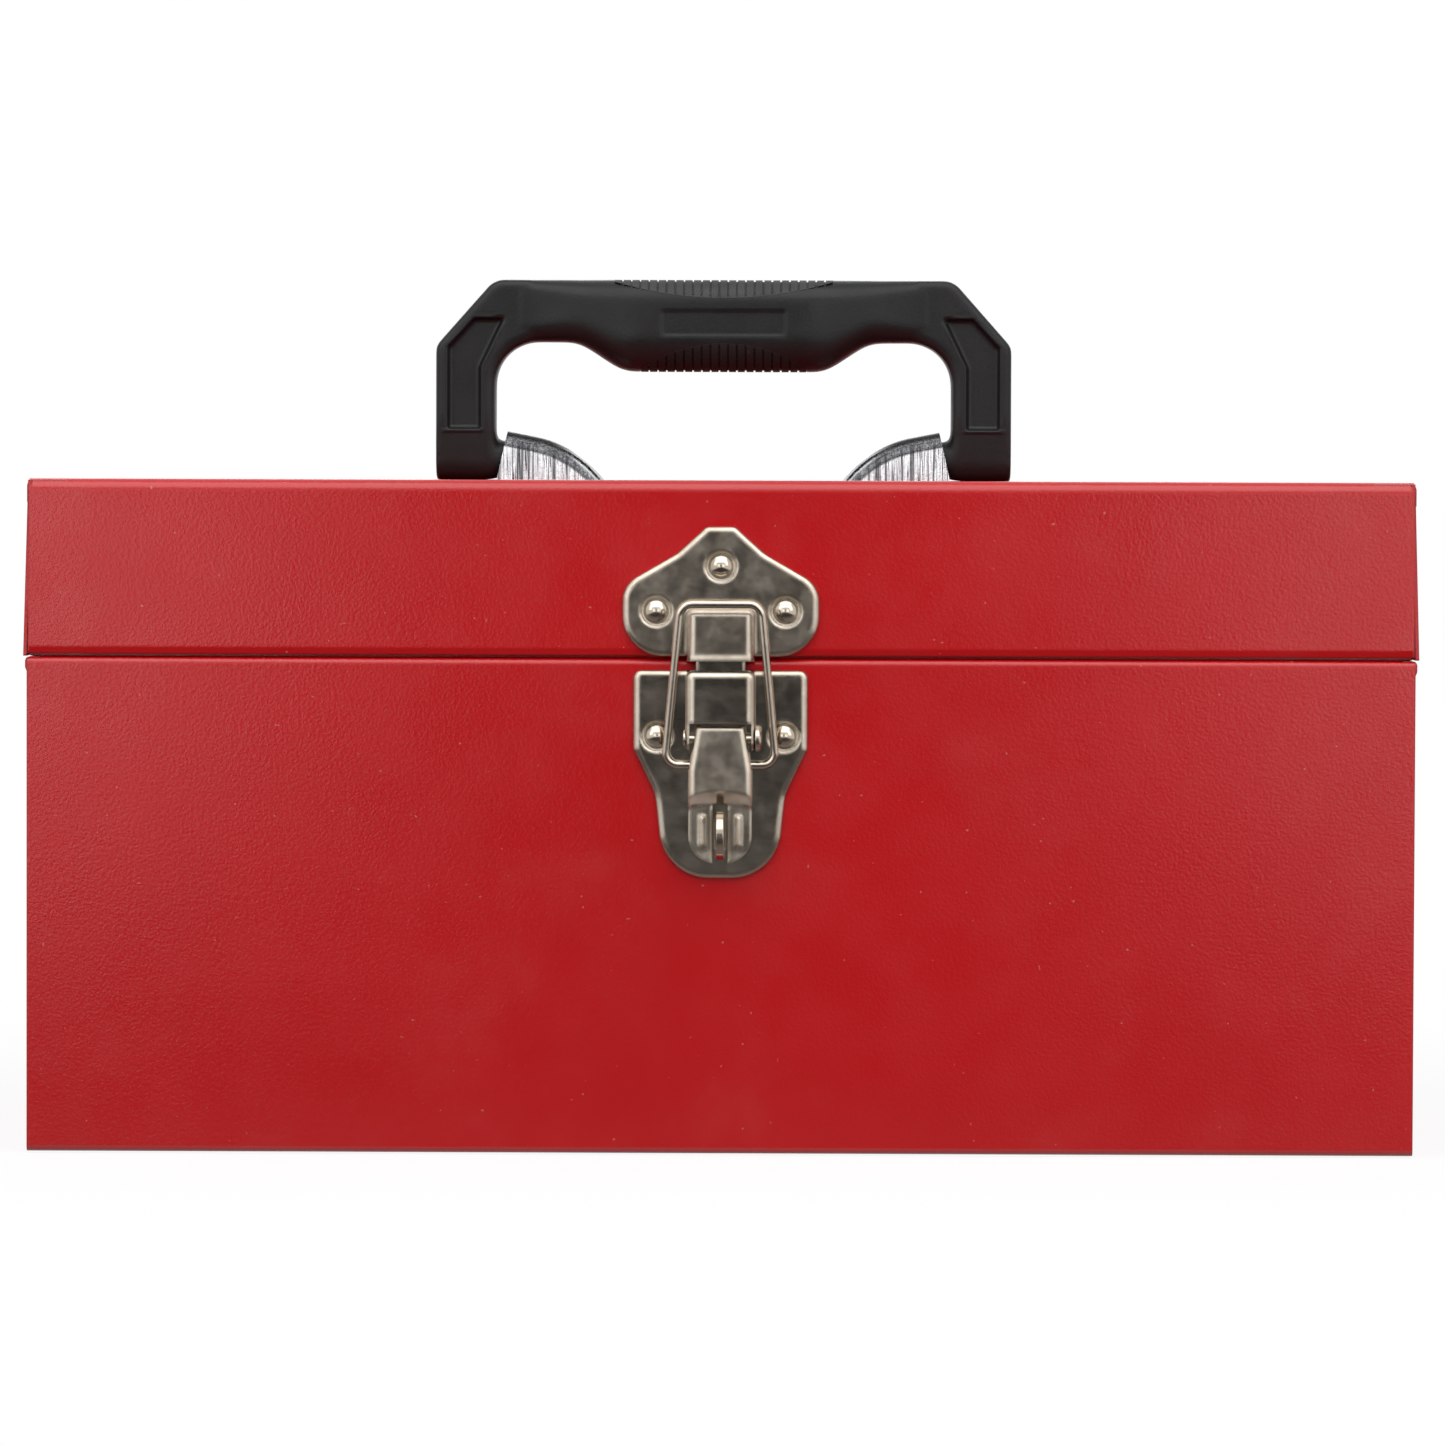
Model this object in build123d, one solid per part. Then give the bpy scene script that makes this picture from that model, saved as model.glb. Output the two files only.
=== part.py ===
from build123d import *
import os
from math import asin, atan2, cos, degrees, hypot, radians, sin, sqrt, tan

# Steel toolbox with a lift-out tray, in millimetres.
# +Z is up, the latch is on the -Y side, the origin is the centre of the underside.

# Box
box_width = 350.0
box_depth = 155.0
body_height = 125.0
box_height = 170.0
sheet = 0.9
seam_gap = 0.9
end_seam_gap = 0.2
bend = 1.2
weld_flange = 10.0

# Body rim
lip_step = 2.5
lip_height = 8.0
lip_foot_bend = 0.8
shoulder_bend = 1.15
lip_corner_gap = 3.5
lip_end_gap = 0.7
lip_corner_drop = 4.0
bead_proud = 0.5
bead_height = 2.6
bead_run = 1.2
bead_bend = 0.75
end_corner_radius = 2.2

# Lid
lid_bend = 2.6
lid_fold_bend = 1.65
lid_tuck = 0.4
lid_tuck_height = 1.7
lid_panel_top_inset = 0.55
lid_panel_low_inset = 0.3
lid_end_top_inset = 0.35
lid_end_flare = 0.9
lid_end_set_back = 0.2
lid_flange_drop = 6.0
lid_flange_proud = 0.2
lid_flange_set_back = 3.0
lid_weld_start = 10.0

# Hinge
hinge_inset = 6.0
hinge_leaf = 13.0
hinge_knuckles = 13
hinge_gap = 0.35
hinge_barrel = 2.45
hinge_axis_out = 2.8
hinge_axis_rise = 0.4
hinge_pin_radius = 1.2
running_fit = 0.05

# Tray and its rests
tray_end_gap = 5.0
tray_side_gap = 6.0
tray_height = 40.0
tray_drop = 1.0
tray_sheet = 0.8
tray_corner = 3.0
tray_floor_bend = 1.5
tray_rim_height = 3.0
tray_rim_proud = 1.0
rest_length = 120.0
rest_overlap = 8.0
rest_bend = 1.0
strap_span = 110.0
strap_rise = 58.0
strap_width = 16.0
strap_thick = 1.6
strap_bend = 8.0
strap_foot = 16.0
strap_foot_bend = 2.0
strap_rivet_radius = 1.6
strap_rivet_head = 2.8
strap_rivet_height = 1.0

# Rivets of the latch
rivet_shank = 1.9
rivet_head = 3.15
rivet_dome = 1.8
rivet_tail = 2.8
rivet_tail_height = 0.8
fit_gap = 0.05
dish_floor = 3.4
dish_rim = 4.1

# Pressed latch plates: half outlines from top to bottom as x, height above the seam, corner radius
plate_rise = 1.6
plate_edge = 1.3
keeper_outline = [(3.6, 33.4, 2.2), (11.2, 26.5, 9.0), (24.8, 18.6, 7.0), (24.8, 0.6, 10.3)]
keeper_rivet_points = [(0.0, 23.4), (-16.3, 12.1), (16.3, 12.1)]
base_outline = [(22.0, -2.8, 2.1), (22.0, -22.7, 3.0), (16.4, -34.4, 14.0), (14.2, -55.3, 12.5)]
base_rivet_points = [(-16.0, -19.4), (16.0, -19.4)]

# Raised loop of the keeper that the bail hooks over, heights above the seam
loop_half = 8.6
loop_top = 12.7
loop_bottom = -0.5
loop_rise = 5.6
loop_wall = 0.9
loop_corner = 2.0
loop_lip = 0.45
loop_lip_height = 1.6

# Bridge that carries the lever, heights above the seam
bridge_half = 8.8
bridge_wall = 1.0
bridge_rise = 8.0
bridge_top = -2.7
bridge_bottom = -16.1
bridge_edge = 2.0
ear_drop = 3.5
ear_corner = 2.6
tongue_gap = 1.5
tongue_top = 3.5
pivot_out = 5.4
pivot_drop = 3.9
pivot_radius = 1.25
pivot_head_radius = 3.2
pivot_head = 1.5
pivot_tail_radius = 2.0
pivot_tail = 0.5

# Padlock staple
staple_thick = 1.8
staple_half = 6.1
staple_height = -44.1
staple_hole = 3.5
padlock_gap = 1.4
tenon_half = 3.5
tenon_depth = 1.3

# Lever
lever_wall = 0.9
lug_gap = 0.4
lever_side_gap = 1.7
lever_half = 8.0
lever_wide_drop = 1.4
lever_wide_bend = 3.0
lever_swell = 0.3
lever_edge = 1.3
lever_bend_rise = 3.4
lever_bend_sag = 1.5
lever_flange_rise = 1.9
lever_tab_out = 4.6
lever_tab_over = 1.1
lever_tab_corner = 6.8
lever_tip_kick = 0.4
lever_tip_rise = 2.8
slot_width = 3.8
slot_clear = 1.6
rib_offset = 4.6
rib_lift = 0.85
rib_length = 8.1
rib_radius = 0.7

# Bail
wire_radius = 1.0
wire_fit = 0.06
bail_inset = 1.5
bail_drop = 6.6
bail_stand = 0.6
bail_lift = 0.2
bail_side_gap = 2.7
bail_head_over = 1.6
bail_stub = 1.7
bail_foot_bend = 3.3
bail_head_bend = 3.4

# Handle, heights above the lid
handle_leg_half = 59.6
handle_leg_width = 15.7
handle_foot = 0.3
handle_top = 52.3
handle_window_top = 36.0
handle_window_corner = 11.0
shoulder_height = 35.0
shoulder_width = 15.3
shoulder_low_round = 4.0
shoulder_high_round = 5.5
handle_leg_depth = 6.5
handle_taper_height = 17.0
handle_leg_edge = 1.6
trunnion_height = 5.6
trunnion_gap = 0.5
trunnion_length = 5.6
trunnion_set_back = 2.0
pocket_depth = 1.7
# Leg pocket: distance in from the handle's end, height, corner radius
pocket_outline = [
    (3.0, 13.1, 1.0),
    (3.0, 34.8, 2.5),
    (10.0, 42.4, 2.5),
    (18.1, 42.4, 2.2),
    (11.9, 29.5, 8.0),
    (11.9, 13.1, 1.0),
]
grip_low = 28.4
grip_depth = 12.0
grip_round = 9.6
grip_end_gap = 9.6
grip_overlap = 3.0
neck_round = 6.0
grip_swell = [(38.0, 7.0), (26.6, 5.0)]
grip_taper_start = 24.0
grip_taper_end = 42.0
grip_taper_depth = 7.4
grip_taper_bend = 14.0
pad_top_half = 30.2
pad_top_drop = 4.9
pad_low_half = 23.0
pad_low_rise = 7.3
rib_pitch = 2.3
rib_groove = 0.5
rib_depth = 0.4
plaque_half = 16.5
plaque_low = 37.4
plaque_high = 44.6
plaque_corner = 2.5
plaque_sink = 0.35

# Handle brackets
bracket_half = 6.3
bracket_wall = 1.1
bracket_gap = 0.3
bracket_lean = 2.8
bracket_slope = 11.0
bracket_nose_in = 4.4
bracket_nose_drop = 18.4
bracket_nose_radius = 30.2
bracket_nose_angle = 50.0
bracket_round = 4.4
bracket_tab_start = 4.3
bracket_tab_length = 15.0
bracket_tab_fold = 6.0
slot_gap = 0.1

os.makedirs("parts", exist_ok=True)

# Reach of a cut beyond the faces it opens, and slack when faces are picked by direction
margin = 1.0
facing_cosine = 0.9

half_width = box_width / 2
half_depth = box_depth / 2
front_y = -half_depth
mid_sheet = sheet / 2
lid_bottom = body_height + seam_gap
hinge_y = half_depth + hinge_axis_out
hinge_z = body_height + hinge_axis_rise
hinge_length = box_width - 2 * hinge_inset
deep = box_depth * 2

tray_length = box_width - 2 * tray_end_gap
tray_depth = box_depth - 2 * tray_side_gap
tray_floor = body_height - tray_height - tray_drop
strap_top = tray_floor + strap_rise
rest_leg = tray_end_gap + rest_overlap

pivot_height = bridge_bottom - pivot_drop
ear_bottom = pivot_height - ear_drop
tongue_half = loop_half - loop_wall - tongue_gap
staple_hole_out = lever_tab_out + staple_hole + padlock_gap
lever_front = pivot_radius + running_fit + lever_wall
lever_lug = pivot_out - plate_rise - lug_gap
lever_top_half = bridge_half - bridge_wall - lever_side_gap
lever_face_out = pivot_out + lever_front
lever_bend_out = lever_face_out + lever_swell
lever_tab_height = staple_height + staple_half + slot_clear
lever_bend_height = lever_tab_height + lever_bend_rise
lever_flange_foot = lever_bend_height + lever_flange_rise
lever_tab_bottom = staple_height - staple_half - lever_tab_over
lever_tip_height = lever_tab_bottom + lever_tip_rise
bail_out = pivot_out - bail_inset
bail_height = pivot_height - bail_drop
bail_top_out = loop_rise + wire_radius + bail_stand
bail_top_height = loop_top + wire_radius + bail_lift
bail_foot_half = bridge_half + pivot_head + wire_radius + bail_side_gap
bail_head_half = loop_half + bail_head_over
bail_stub_half = lever_half - bail_stub
lever_wide_height = bail_height - lever_wide_drop

handle_half = handle_leg_half + handle_leg_width
handle_foot_depth = trunnion_height - handle_foot
trunnion_radius = bracket_half - bracket_wall - trunnion_gap
trunnion_inner = handle_leg_half - trunnion_length
grip_reach = handle_leg_half - grip_end_gap
handle_leg_inner = grip_reach - grip_overlap
neck_low = handle_window_top
bracket_outer = handle_leg_half - bracket_gap
bracket_ridge = bracket_outer - bracket_lean
bracket_nose_centre = (bracket_outer - bracket_nose_in, -bracket_nose_drop)
bracket_tab_out = bracket_outer - bracket_tab_start
bracket_tab_in = bracket_tab_out - bracket_tab_length


def save(node, shape):
    export_step(shape, f"parts/{node}.step")


def block(x0, x1, y0, y1, z0, z1):
    size = (x1 - x0, y1 - y0, z1 - z0)
    return Pos((x0 + x1) / 2, (y0 + y1) / 2, (z0 + z1) / 2) * Box(*size)


def outline(rounded):
    points = [(a, b) for a, b, r in rounded]
    return make_face(FilletPolyline(*points, radius=[r for a, b, r in rounded], close=True))


def heading(start, end):
    length = hypot(end[0] - start[0], end[1] - start[1])
    return (end[0] - start[0]) / length, (end[1] - start[1]) / length


def strip(points, radii, thickness):
    half = thickness / 2
    bends = [0, *radii, 0]
    headings = [heading(a, b) for a, b in zip(points, points[1:])]
    headings = [headings[0], *headings, headings[-1]]
    left, right = [], []
    for (x, y), radius, (ax, ay), (bx, by) in zip(points, bends, headings, headings[1:]):
        reach = half / (1 + ax * bx + ay * by)
        dx, dy = -(ay + by) * reach, (ax + bx) * reach
        turn = half if ax * by - ay * bx > 0 else -half
        left.append((x + dx, y + dy, radius - turn if radius else 0))
        right.append((x - dx, y - dy, radius + turn if radius else 0))
    return outline(left + right[::-1])


def both_sides(rounded):
    left = [(-a, b, r) for a, b, r in reversed(rounded)]
    return outline(rounded + left)


def along_x(profile, half_length):
    return extrude(Plane.YZ * profile, amount=half_length, both=True)


def along_y(profile, half_length):
    return extrude(Plane.XZ * profile, amount=half_length, both=True)


def front_plane(out):
    return Plane((0, front_y - out, 0), x_dir=(1, 0, 0), z_dir=(0, -1, 0))


side_plane = Plane((0, front_y, 0), x_dir=(0, -1, 0), z_dir=(-1, 0, 0))


def out_from(out, profile, length):
    return extrude(front_plane(out) * profile, amount=length)


def across(profile, half_length):
    return extrude(side_plane * profile, amount=half_length, both=True)


def cross_rod(out, height, radius, x0, x1):
    rod = Rot(0, 90, 0) * Cylinder(radius, x1 - x0)
    return Pos((x0 + x1) / 2, front_y - out, height) * rod


def turned(x, z, profile):
    plane = Plane((x, front_y, z), x_dir=(1, 0, 0), z_dir=(0, 0, -1))
    return revolve(plane * profile, axis=Axis((x, front_y, z), (0, -1, 0)))


def on_seam(shape):
    return Pos(0, 0, body_height) * shape


def on_lid(shape):
    return Pos(0, 0, box_height) * shape


def right_to_left(shape):
    return mirror(shape, about=Plane.YZ)


def dome_profile(start, foot, head, height, seat):
    ball = (head * head + height * height) / (2 * height)
    half_angle = asin(head / ball) / 2
    middle = (ball * sin(half_angle), seat + height - ball + ball * cos(half_angle))
    arc = ThreePointArc((head, seat), middle, (0, seat + height))
    sides = Polyline((0, seat + height), (0, start), *foot, (head, seat))
    return make_face(arc + sides)


def rivets(points, seat):
    inside = -sheet
    tail = inside - rivet_tail_height
    foot = [(rivet_tail, tail), (rivet_tail, inside), (rivet_shank, inside), (rivet_shank, seat)]
    profile = dome_profile(tail, foot, rivet_head, rivet_dome, seat)
    return [turned(x, z, profile) for x, z in points]


def rivet_holes(points):
    hole = Circle(rivet_shank + fit_gap)
    return [on_seam(out_from(-deep / 4, Pos(x, z) * hole, deep / 2)) for x, z in points]


def pressed_plate(rounded, points):
    face = both_sides(rounded)
    plate = out_from(0, face, plate_rise)
    front = plate.faces().sort_by(Axis.Y)[0]
    plate = fillet(front.edges(), plate_edge)
    plate -= out_from(-sheet, offset(face, -sheet), plate_rise)
    drop = plate_rise - sheet
    ring = [
        (rivet_shank + fit_gap, 0),
        (dish_floor, 0),
        (dish_rim, drop),
        (dish_rim, plate_rise),
        (dish_rim - fit_gap, plate_rise),
        (dish_floor, sheet),
        (rivet_shank + fit_gap, sheet),
    ]
    dish = make_face(Polyline(*ring, close=True))
    for x, z in points:
        plate -= out_from(-sheet, Pos(x, z) * Circle(dish_rim - fit_gap), plate_rise * 2)
        plate += turned(x, z, dish)
    return plate


def body_wrap():
    skin = half_depth - mid_sheet
    lip = skin - lip_step
    path = [
        (-lip, body_height + lip_height),
        (-lip, body_height - mid_sheet),
        (-skin, body_height - mid_sheet),
        (-skin, mid_sheet),
        (skin, mid_sheet),
        (skin, body_height),
    ]
    wrap = along_x(strip(path, [lip_foot_bend, shoulder_bend, bend, bend], sheet), half_width)
    inner = front_y + sheet
    low = body_height - lip_corner_drop
    high = body_height + lip_height + margin
    outer = half_width + margin
    foot = block(half_width - lip_corner_gap, outer, inner, 0, low, body_height + end_seam_gap)
    tip = block(half_width - lip_end_gap, outer, inner, 0, low, high)
    wrap -= [foot, tip, right_to_left(foot), right_to_left(tip)]
    return wrap - rivet_holes(base_rivet_points)


def body_end():
    skin = half_width - mid_sheet
    inner = half_depth - sheet
    path = [
        (skin - lip_step, body_height + lip_height),
        (skin - lip_step, body_height - mid_sheet),
        (skin + bead_proud, body_height - mid_sheet),
        (skin + bead_proud, body_height - bead_height),
        (skin, body_height - bead_height - bead_run),
        (skin, sheet + mid_sheet),
        (skin - weld_flange, sheet + mid_sheet),
    ]
    bends = [lip_foot_bend, bead_bend, bead_bend, bead_bend, bend]
    end = along_y(strip(path, bends, sheet), inner)
    top = body_height + lip_height
    corner = end_corner_radius
    fit = [(inner, sheet, corner), (inner, top, corner), (-inner, top, corner), (-inner, sheet, corner)]
    end &= along_x(outline(fit), box_width)
    lip_end = half_depth - sheet - lip_step - end_seam_gap
    gap = block(0, box_width, lip_end, box_depth, body_height, box_height)
    end -= [gap, mirror(gap, about=Plane.XZ)]
    low = sheet + weld_flange / 2
    high = body_height - weld_flange
    flange = block(skin - weld_flange, skin, inner - sheet, inner, low, high)
    return end + flange + mirror(flange, about=Plane.XZ)


def lid_shell():
    skin = half_depth - mid_sheet
    crown = box_height - mid_sheet
    path = [
        (-skin + lid_tuck, lid_bottom),
        (-skin, lid_bottom + lid_tuck_height),
        (-skin, crown),
        (skin, crown),
        (skin, lid_bottom),
    ]
    shell = along_x(strip(path, [bend, lid_bend, lid_bend], sheet), box_width)
    panel = both_sides([
        (half_width - lid_panel_top_inset, box_height, 0),
        (half_width - lid_panel_low_inset, lid_bottom - margin, 0),
    ])
    shell &= along_y(panel, box_depth)
    high = half_width - lid_end_top_inset - mid_sheet
    low = half_width + lid_end_flare - mid_sheet
    end_path = [(high, crown), (low, body_height + end_seam_gap)]
    wall = along_y(strip(end_path, [], sheet), half_depth - lid_end_set_back)
    fold = half_width + lid_flange_proud - mid_sheet
    fold_path = [(high - weld_flange, crown), (fold, crown), (fold, box_height - lid_flange_drop)]
    flange = along_y(strip(fold_path, [lid_fold_bend], sheet), half_depth - lid_flange_set_back)
    inner = half_depth - sheet
    weld = block(high - weld_flange, high, inner - sheet, inner, body_height + lid_weld_start, crown)
    for piece in (wall, flange, weld, mirror(weld, about=Plane.XZ)):
        shell += piece
        shell += right_to_left(piece)
    shell -= rivet_holes(keeper_rivet_points)
    wall_y = bracket_half - bracket_wall
    slot = block(
        bracket_tab_in - slot_gap,
        bracket_tab_out + slot_gap,
        wall_y - slot_gap,
        bracket_half + slot_gap,
        box_height - 2 * sheet,
        box_height + sheet,
    )
    pair = [slot, mirror(slot, about=Plane.XZ)]
    return shell - pair - [right_to_left(s) for s in pair]


def knuckle_spans(first):
    pitch = hinge_length / hinge_knuckles
    start = -hinge_length / 2
    return [(start + i * pitch, start + (i + 1) * pitch) for i in range(first, hinge_knuckles, 2)]


def barrel(radius, x0, x1):
    return Pos((x0 + x1) / 2, hinge_y, hinge_z) * (Rot(0, 90, 0) * Cylinder(radius, x1 - x0))


def hinge_leaf_piece(first, side):
    clear = hinge_barrel + hinge_gap
    edge = body_height if side < 0 else lid_bottom
    near = hinge_z + side * clear
    far = edge + side * hinge_leaf
    half = hinge_length / 2
    leaf = block(-half, half, half_depth, half_depth + sheet, min(near, far), max(near, far))
    for x0, x1 in knuckle_spans(first):
        a, b = x0 + hinge_gap / 2, x1 - hinge_gap / 2
        low, high = min(near, hinge_z), max(near, hinge_z)
        leaf += block(a, b, half_depth + hinge_gap, half_depth + sheet, low, high)
        leaf += barrel(hinge_barrel, a, b)
    return leaf - barrel(hinge_pin_radius + running_fit, -half - margin, half + margin)


def tray_rest():
    wall = half_width - sheet - mid_sheet
    shelf = tray_floor - mid_sheet
    path = [(wall, shelf - rest_leg), (wall, shelf), (wall - rest_leg, shelf)]
    return along_y(strip(path, [rest_bend], sheet), rest_length / 2)


def strap_rivet_points():
    x = strap_span / 2 + strap_foot / 2
    y = strap_width / 4
    return [(i * x, j * y) for i in (-1, 1) for j in (-1, 1)]


def tray_holes():
    hole = Cylinder(strap_rivet_radius + fit_gap, tray_height / 2)
    return [Pos(x, y, tray_floor) * hole for x, y in strap_rivet_points()]


def tray_shell():
    rim = tray_floor + tray_height
    length = tray_length / 2 - tray_rim_proud
    depth = tray_depth / 2 - tray_rim_proud
    pan = block(-length, length, -depth, depth, tray_floor, rim)
    pan = fillet(pan.edges().filter_by(Axis.Z), tray_corner)
    pan = fillet(pan.faces().sort_by(Axis.Z)[0].edges(), tray_floor_bend)
    hem_x, hem_y = tray_length / 2, tray_depth / 2
    hem = block(-hem_x, hem_x, -hem_y, hem_y, rim - tray_rim_height, rim)
    hem = fillet(hem.edges().filter_by(Axis.Z), tray_corner + tray_rim_proud)
    hem = fillet(hem.faces().sort_by(Axis.Z)[0].edges(), tray_rim_proud / 2)
    inside = block(
        tray_sheet - length,
        length - tray_sheet,
        tray_sheet - depth,
        depth - tray_sheet,
        tray_floor + tray_sheet,
        rim + tray_height,
    )
    inside = fillet(inside.edges().filter_by(Axis.Z), tray_corner - tray_sheet)
    inside = fillet(inside.faces().sort_by(Axis.Z)[0].edges(), tray_floor_bend - tray_sheet)
    return pan + hem - inside - tray_holes()


def tray_handle():
    half = strap_span / 2
    foot = tray_floor + tray_sheet + strap_thick / 2
    top = strap_top - strap_thick / 2
    right = [(half, top), (half, foot), (half + strap_foot, foot)]
    path = [(-x, z) for x, z in reversed(right)] + right
    bends = [strap_foot_bend, strap_bend, strap_bend, strap_foot_bend]
    return along_y(strip(path, bends, strap_thick), strap_width / 2) - tray_holes()


def tray_handle_rivets():
    seat = tray_floor + tray_sheet + strap_thick
    shank = [(strap_rivet_radius, tray_floor), (strap_rivet_radius, seat)]
    profile = dome_profile(tray_floor, shank, strap_rivet_head, strap_rivet_height, seat)
    rivet = revolve(Plane.XZ * profile, axis=Axis.Z)
    return [Pos(x, y, 0) * rivet for x, y in strap_rivet_points()]


def keeper_plate():
    plate = pressed_plate(keeper_outline, keeper_rivet_points)
    low, high = loop_bottom, loop_top
    face = both_sides([(loop_half, high, loop_corner), (loop_half, low, 0)])
    inside = loop_half - loop_wall
    cavity = Pos(0, (low + high) / 2 - loop_wall) * Rectangle(2 * inside, high - low)
    loop = out_from(0, face, loop_rise)
    edges = loop.faces().sort_by(Axis.Y)[0].edges().sort_by(Axis.Z)[1:]
    loop = fillet(edges, loop_corner)
    lip = [
        (loop_rise - loop_wall, low),
        (loop_rise + loop_lip, low),
        (loop_rise, low + loop_lip_height),
        (loop_rise - loop_wall, low + loop_lip_height),
    ]
    loop += across(make_face(Polyline(*lip, close=True)), inside)
    loop -= block(-loop_half, loop_half, front_y - plate_rise / 2, 0, -deep, keeper_outline[-1][1])
    return plate + loop - out_from(-sheet, cavity, sheet + loop_rise - loop_wall)


def base_plate():
    plate = pressed_plate(base_outline, base_rivet_points)
    tenon = Pos(0, staple_height) * Rectangle(staple_thick + 2 * fit_gap, 2 * (tenon_half + fit_gap))
    return plate - out_from(-margin, tenon, plate_rise + 2 * margin)


def latch_bridge():
    low = ear_bottom
    side = outline([
        (plate_rise, low, 0),
        (bridge_rise, low, ear_corner),
        (bridge_rise, bridge_top, bridge_edge),
        (plate_rise, bridge_top, 0),
    ])
    bridge = across(side, bridge_half)
    long_edges = bridge.edges().filter_by(Axis.Z).sort_by(Axis.Y)[:2]
    bridge = fillet(long_edges, bridge_edge)
    inner = bridge_half - bridge_wall
    back = front_y - plate_rise
    behind_face = front_y - bridge_rise + bridge_wall
    bridge -= block(-inner, inner, behind_face, back - bridge_wall, -deep, deep)
    bridge -= block(-inner, inner, front_y - deep, back, -deep, bridge_bottom)
    bridge += block(-tongue_half, tongue_half, back - bridge_wall, back, bridge_bottom, tongue_top)
    return bridge - cross_rod(pivot_out, pivot_height, pivot_radius + fit_gap, -box_width, box_width)


def lever_pin():
    reach = bridge_half + fit_gap
    pin = cross_rod(pivot_out, pivot_height, pivot_radius, -reach, reach)
    head = cross_rod(pivot_out, pivot_height, pivot_head_radius, bridge_half, bridge_half + pivot_head)
    head = chamfer(head.edges().sort_by(Axis.X)[-1:], pivot_head / 3)
    tail = cross_rod(pivot_out, pivot_height, pivot_tail_radius, -bridge_half - pivot_tail, -bridge_half)
    return pin + head + tail


def lever_outline(inset):
    top = pivot_height + lever_lug + margin
    slope = (lever_half - lever_top_half) / (pivot_height + lever_lug - lever_wide_height)
    narrow = lever_top_half - slope * margin - inset
    wide = lever_half - inset
    low = -deep if inset else lever_tab_bottom
    corner = 0 if inset else lever_tab_corner
    return both_sides([(narrow, top, 0), (wide, lever_wide_height, lever_wide_bend), (wide, low, corner)])


def lever_step(out, height):
    reach = lever_half + margin
    sag = lever_bend_sag * (reach / lever_half) ** 2
    arc = ThreePointArc((-reach, height - sag), (0, height), (reach, height - sag))
    low = height - deep
    sides = Polyline((reach, height - sag), (reach, low), (-reach, low), (-reach, height - sag))
    run = lever_bend_out - lever_tab_out
    fall = lever_bend_height - lever_tab_height
    start = out + margin
    face = front_plane(start) * (Pos(0, fall / run * margin) * make_face(arc + sides))
    toward_plate = Vector(0, run, -fall)
    return extrude(face, amount=deep, dir=toward_plate)


def latch_lever():
    face_out = lever_face_out
    lug_top = pivot_height + sqrt(lever_lug ** 2 - lever_front ** 2)
    back = pivot_out - lever_lug
    arc = ThreePointArc((face_out, lug_top), (pivot_out, pivot_height + lever_lug), (back, pivot_height))
    sides = Polyline(
        (back, pivot_height),
        (back, lever_flange_foot),
        (lever_tab_out - lever_wall, lever_tab_height - lever_bend_sag),
        (lever_bend_out, lever_tab_height - lever_bend_sag),
        (lever_bend_out, lever_bend_height),
        (face_out, lug_top),
    )
    channel = across(make_face(arc + sides), box_width)
    channel &= out_from(0, lever_outline(0), deep)
    face = channel.faces().filter_by(lambda f: f.normal_at().Y < -facing_cosine).sort_by(Axis.Z)[-1]
    long_edges = [e for e in face.edges() if abs(e.center().X) > lever_top_half - lever_wall]
    channel = fillet(long_edges, lever_edge)
    channel -= lever_step(lever_bend_out, lever_bend_height)
    inner = Polyline(
        (face_out - lever_wall, deep),
        (0, deep),
        (0, lever_tab_height - deep),
        (lever_bend_out - lever_wall, lever_tab_height - deep),
        (lever_bend_out - lever_wall, lever_bend_height),
        close=True,
    )
    cavity = across(make_face(inner), box_width) & out_from(0, lever_outline(lever_wall), deep)
    channel -= cavity - lever_step(lever_bend_out - lever_wall, lever_bend_height + lever_wall / 2)
    half = lever_wall / 2
    path = [
        (lever_tab_out - half, lever_tab_height + margin),
        (lever_tab_out - half, lever_tip_height),
        (lever_tab_out + lever_tip_kick - half, lever_tab_bottom - margin),
    ]
    tab = across(strip(path, [lever_tip_height - lever_tab_bottom], lever_wall), box_width)
    tab &= out_from(0, lever_outline(0), deep)
    lever = channel + tab
    lever -= block(-slot_width / 2, slot_width / 2, front_y - deep, front_y, -deep, lever_tab_height)
    for x in (-rib_offset, rib_offset):
        rib = Pos(x, front_y - lever_tab_out, staple_height + rib_lift) * Cylinder(rib_radius, rib_length)
        lever += fillet(rib.edges(), rib_radius - fit_gap)
    lever -= cross_rod(pivot_out, pivot_height, pivot_radius + running_fit, -box_width, box_width)
    return lever - cross_rod(bail_out, bail_height, wire_radius + wire_fit, -box_width, box_width)


def latch_bail():
    reach = hypot(bail_top_out - bail_out, bail_top_height - bail_height)
    path = FilletPolyline(
        (-bail_stub_half, 0),
        (-bail_foot_half, 0),
        (-bail_head_half, reach),
        (bail_head_half, reach),
        (bail_foot_half, 0),
        (bail_stub_half, 0),
        radius=[bail_foot_bend, bail_head_bend, bail_head_bend, bail_foot_bend],
    )
    path = Plane.XZ * path
    section = Plane((-bail_stub_half, 0, 0), x_dir=(0, 1, 0), z_dir=(-1, 0, 0)) * Circle(wire_radius)
    bail = sweep(section, path=path)
    lean = degrees(atan2(bail_top_out - bail_out, bail_top_height - bail_height))
    return Pos(0, front_y - bail_out, bail_height) * (Rot(lean, 0, 0) * bail)


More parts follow.
